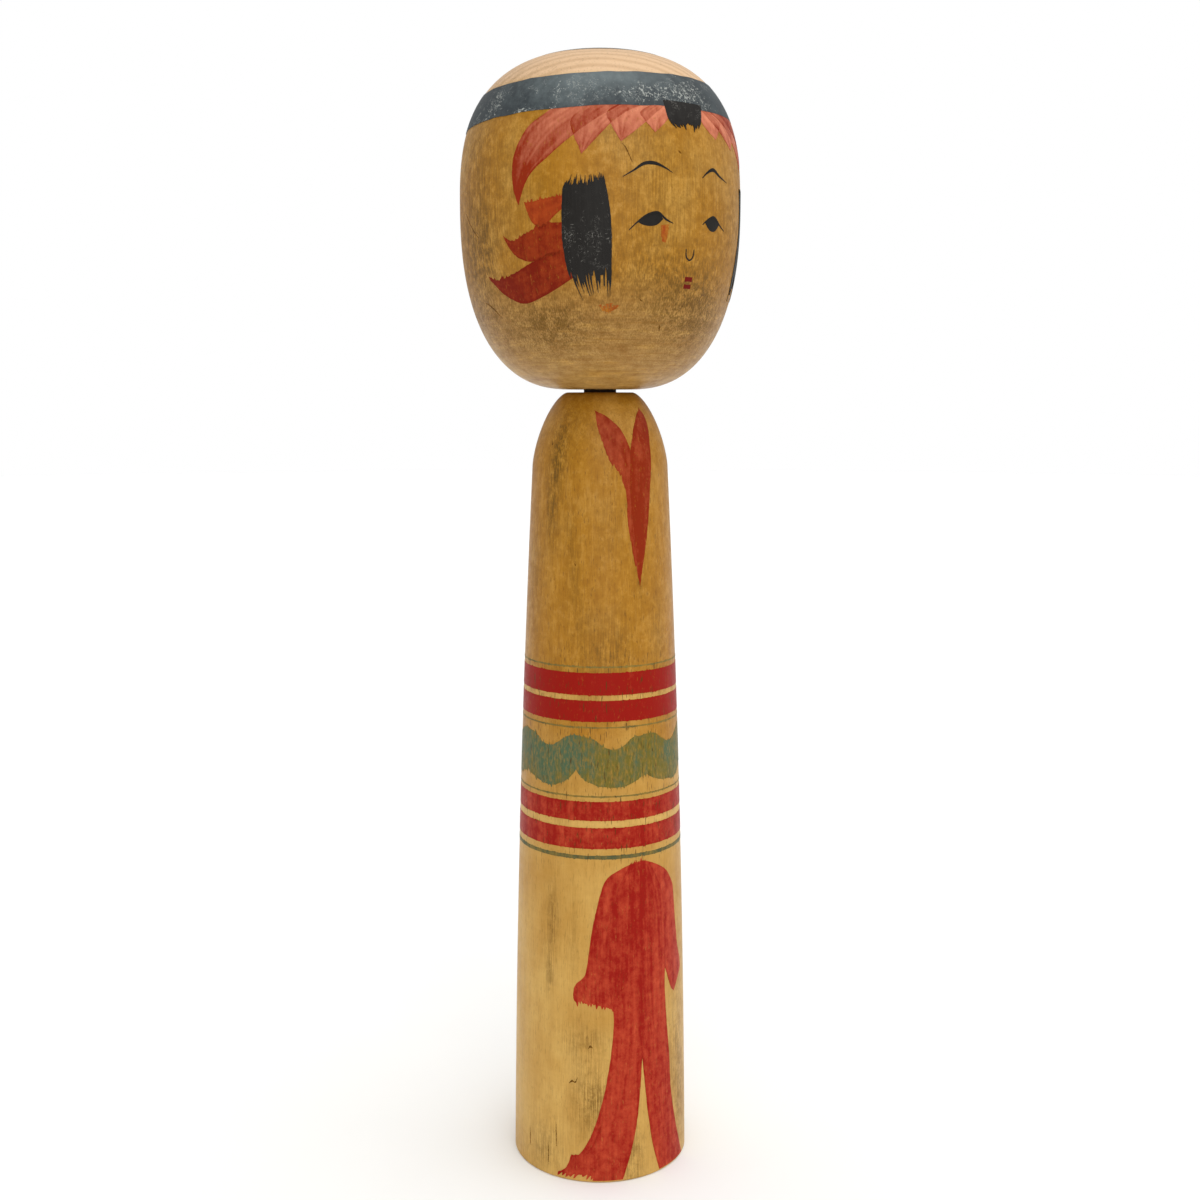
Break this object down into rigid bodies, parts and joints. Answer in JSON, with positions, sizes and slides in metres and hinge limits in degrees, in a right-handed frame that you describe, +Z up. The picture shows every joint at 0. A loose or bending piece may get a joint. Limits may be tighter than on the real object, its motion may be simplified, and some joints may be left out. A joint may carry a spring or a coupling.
{
  "type": "kokeshi doll",
  "caption": "Lathe-turned wooden kokeshi doll: slim tapered body on a flat base and a large rounded head that turns on a dowel in the neck.",
  "frame": {"origin": "centre of the flat base, on the turning axis", "axes": "+Z up along the turning axis, from the base to the crown; -Y is the painted front of the body"},
  "size_m": [0.0742, 0.0742, 0.3014],
  "materials": {
    "body_wood": "waxed, with red, green and black dye and paint",
    "head_wood": "waxed, with black ink and red dye",
    "peg_wood": "bare, darkened"
  },
  "bodies": {
    "body": {"body": "body_wood"},
    "head": {"head": "head_wood", "neck_peg": "peg_wood"}
  },
  "joints": [
    {"name": "head_turn", "type": "hinge", "parent": "body", "child": "head", "pos_m": [0, 0, 0.2142], "axis": [0, 0, 1], "continuous": true}
  ]
}
